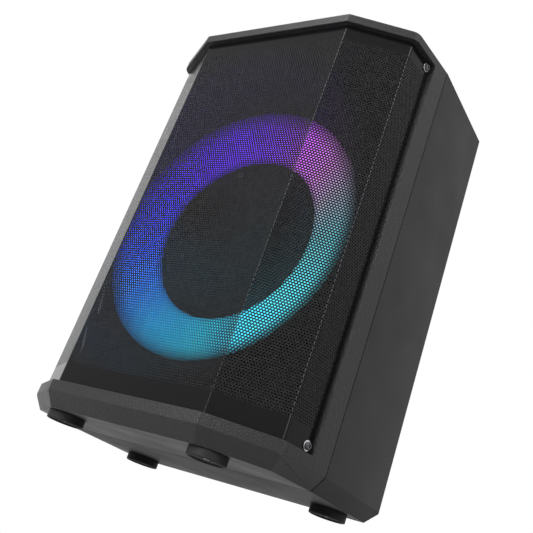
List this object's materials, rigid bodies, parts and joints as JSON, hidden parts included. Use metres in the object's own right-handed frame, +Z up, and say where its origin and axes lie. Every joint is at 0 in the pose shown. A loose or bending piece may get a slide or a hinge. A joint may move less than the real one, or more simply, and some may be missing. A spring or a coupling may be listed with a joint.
{
  "type": "party speaker",
  "caption": "Floor-standing party speaker with a faceted wrap-round perforated grille, a lit ring round the driver, round rubber feet, a rear hand grip and rear sockets.",
  "frame": {"origin": "centre of the footprint, on the floor under the feet", "axes": "+Z up, the flat front facet of the grille faces -Y, +X to the right seen from behind"},
  "size_m": [0.3406, 0.234, 0.4777],
  "materials": {
    "frame_plastic": "fine leather grain, moulded black",
    "shell_plastic": "smooth satin dark grey",
    "grille_steel": "satin black powder coat, perforated",
    "dark_plastic": "plain matt black",
    "foot_rubber": "matt black rubber",
    "black_screw": "black finish, slightly glossy",
    "zinc_steel": "bright zinc plate",
    "baffle_board": "fibreboard stained black",
    "foam": "closed-cell foam strip",
    "lens_milky": "milky translucent, lit from behind in changing colours",
    "circuit_board": "green lacquered board",
    "lamp_board": "white lacquered board",
    "lamp": "clear lamp body",
    "basket_steel": "pressed steel, black",
    "cone_paper": "pressed black paper",
    "surround_rubber": "soft black rubber roll",
    "cap_paper": "pressed black paper dome",
    "coil_copper": "enamelled copper wire on a former",
    "spider_cloth": "varnished corrugated cloth",
    "ferrite": "sintered ferrite, matt",
    "control_plastic": "fine matt",
    "button_plastic": "satin dark grey",
    "knob_plastic": "satin, ribbed",
    "jack_plastic": "moulded gloss black",
    "socket_steel": "bright plated shell",
    "sink_aluminium": "extruded, plain",
    "capacitor_sleeve": "dark blue sleeve",
    "battery_wrap": "blue shrink wrap",
    "lead_red": "red sheathed lead"
  },
  "bodies": {
    "cabinet": {"front_frame": "frame_plastic", "cabinet_shell": "shell_plastic", "grille": "grille_steel", "grille_washers": "zinc_steel", "grille_screws": "black_screw", "baffle": "baffle_board", "baffle_gasket": "foam", "baffle_screws": "zinc_steel", "foot_front_left": "foot_rubber", "foot_front_right": "foot_rubber", "foot_rear_left": "foot_rubber", "foot_rear_right": "foot_rubber", "foot_screws": "zinc_steel", "handle_cup": "dark_plastic", "port_tube": "dark_plastic", "light_housing": "dark_plastic", "led_board": "lamp_board", "led_lamps": "lamp", "light_lens": "lens_milky", "housing_screws": "zinc_steel", "driver_gasket": "foam", "driver_trim_ring": "dark_plastic", "driver_basket": "basket_steel", "driver_screws": "zinc_steel", "surround": "surround_rubber", "spider": "spider_cloth", "top_plate": "zinc_steel", "magnet": "ferrite", "back_plate": "zinc_steel", "control_tray": "control_plastic", "control_board": "circuit_board", "tact_switches": "jack_plastic", "socket_panel": "control_plastic", "panel_screws": "black_screw", "socket_board": "circuit_board", "pot_bodies": "zinc_steel", "mic_jacks": "jack_plastic", "aux_jack": "jack_plastic", "usb_socket": "socket_steel", "dc_jack": "jack_plastic", "switch_case": "jack_plastic", "amp_board": "circuit_board", "heat_sink": "sink_aluminium", "amp_capacitors": "capacitor_sleeve", "battery_pack": "battery_wrap", "battery_bracket": "zinc_steel", "board_screws": "zinc_steel", "speaker_lead": "lead_red"},
    "cone_assembly": {"cone": "cone_paper", "dust_cap": "cap_paper", "voice_coil": "coil_copper"},
    "button_power": {"button_power": "button_plastic"},
    "button_mode": {"button_mode": "button_plastic"},
    "button_back": {"button_back": "button_plastic"},
    "button_play": {"button_play": "button_plastic"},
    "button_next": {"button_next": "button_plastic"},
    "button_light": {"button_light": "button_plastic"},
    "mic_knob": {"mic_knob": "knob_plastic"},
    "guitar_knob": {"guitar_knob": "knob_plastic"},
    "power_rocker": {"switch_rocker": "button_plastic"}
  },
  "joints": [
    {"name": "cone_travel", "type": "slide", "parent": "cabinet", "child": "cone_assembly", "axis": [0, -1, 0], "range_m": [-0.004, 0.004], "stiffness_N_per_m": 2000, "deforming": ["surround", "spider"]},
    {"name": "button_power_press", "type": "slide", "parent": "cabinet", "child": "button_power", "axis": [0, 0, -1], "range_m": [0, 0.0012], "stiffness_N_per_m": 800},
    {"name": "button_mode_press", "type": "slide", "parent": "cabinet", "child": "button_mode", "axis": [0, 0, -1], "range_m": [0, 0.0012], "stiffness_N_per_m": 800},
    {"name": "button_back_press", "type": "slide", "parent": "cabinet", "child": "button_back", "axis": [0, 0, -1], "range_m": [0, 0.0012], "stiffness_N_per_m": 800},
    {"name": "button_play_press", "type": "slide", "parent": "cabinet", "child": "button_play", "axis": [0, 0, -1], "range_m": [0, 0.0012], "stiffness_N_per_m": 800},
    {"name": "button_next_press", "type": "slide", "parent": "cabinet", "child": "button_next", "axis": [0, 0, -1], "range_m": [0, 0.0012], "stiffness_N_per_m": 800},
    {"name": "button_light_press", "type": "slide", "parent": "cabinet", "child": "button_light", "axis": [0, 0, -1], "range_m": [0, 0.0012], "stiffness_N_per_m": 800},
    {"name": "mic_knob_turn", "type": "hinge", "parent": "cabinet", "child": "mic_knob", "pos_m": [0.062, 0.105, 0.128], "axis": [0, 1, 0], "range_deg": [-150, 150]},
    {"name": "guitar_knob_turn", "type": "hinge", "parent": "cabinet", "child": "guitar_knob", "pos_m": [0.028, 0.105, 0.128], "axis": [0, 1, 0], "range_deg": [-150, 150]},
    {"name": "rocker_tilt", "type": "hinge", "parent": "cabinet", "child": "power_rocker", "pos_m": [-0.078, 0.093, 0.112], "axis": [-1, 0, 0], "range_deg": [0, 16]}
  ]
}
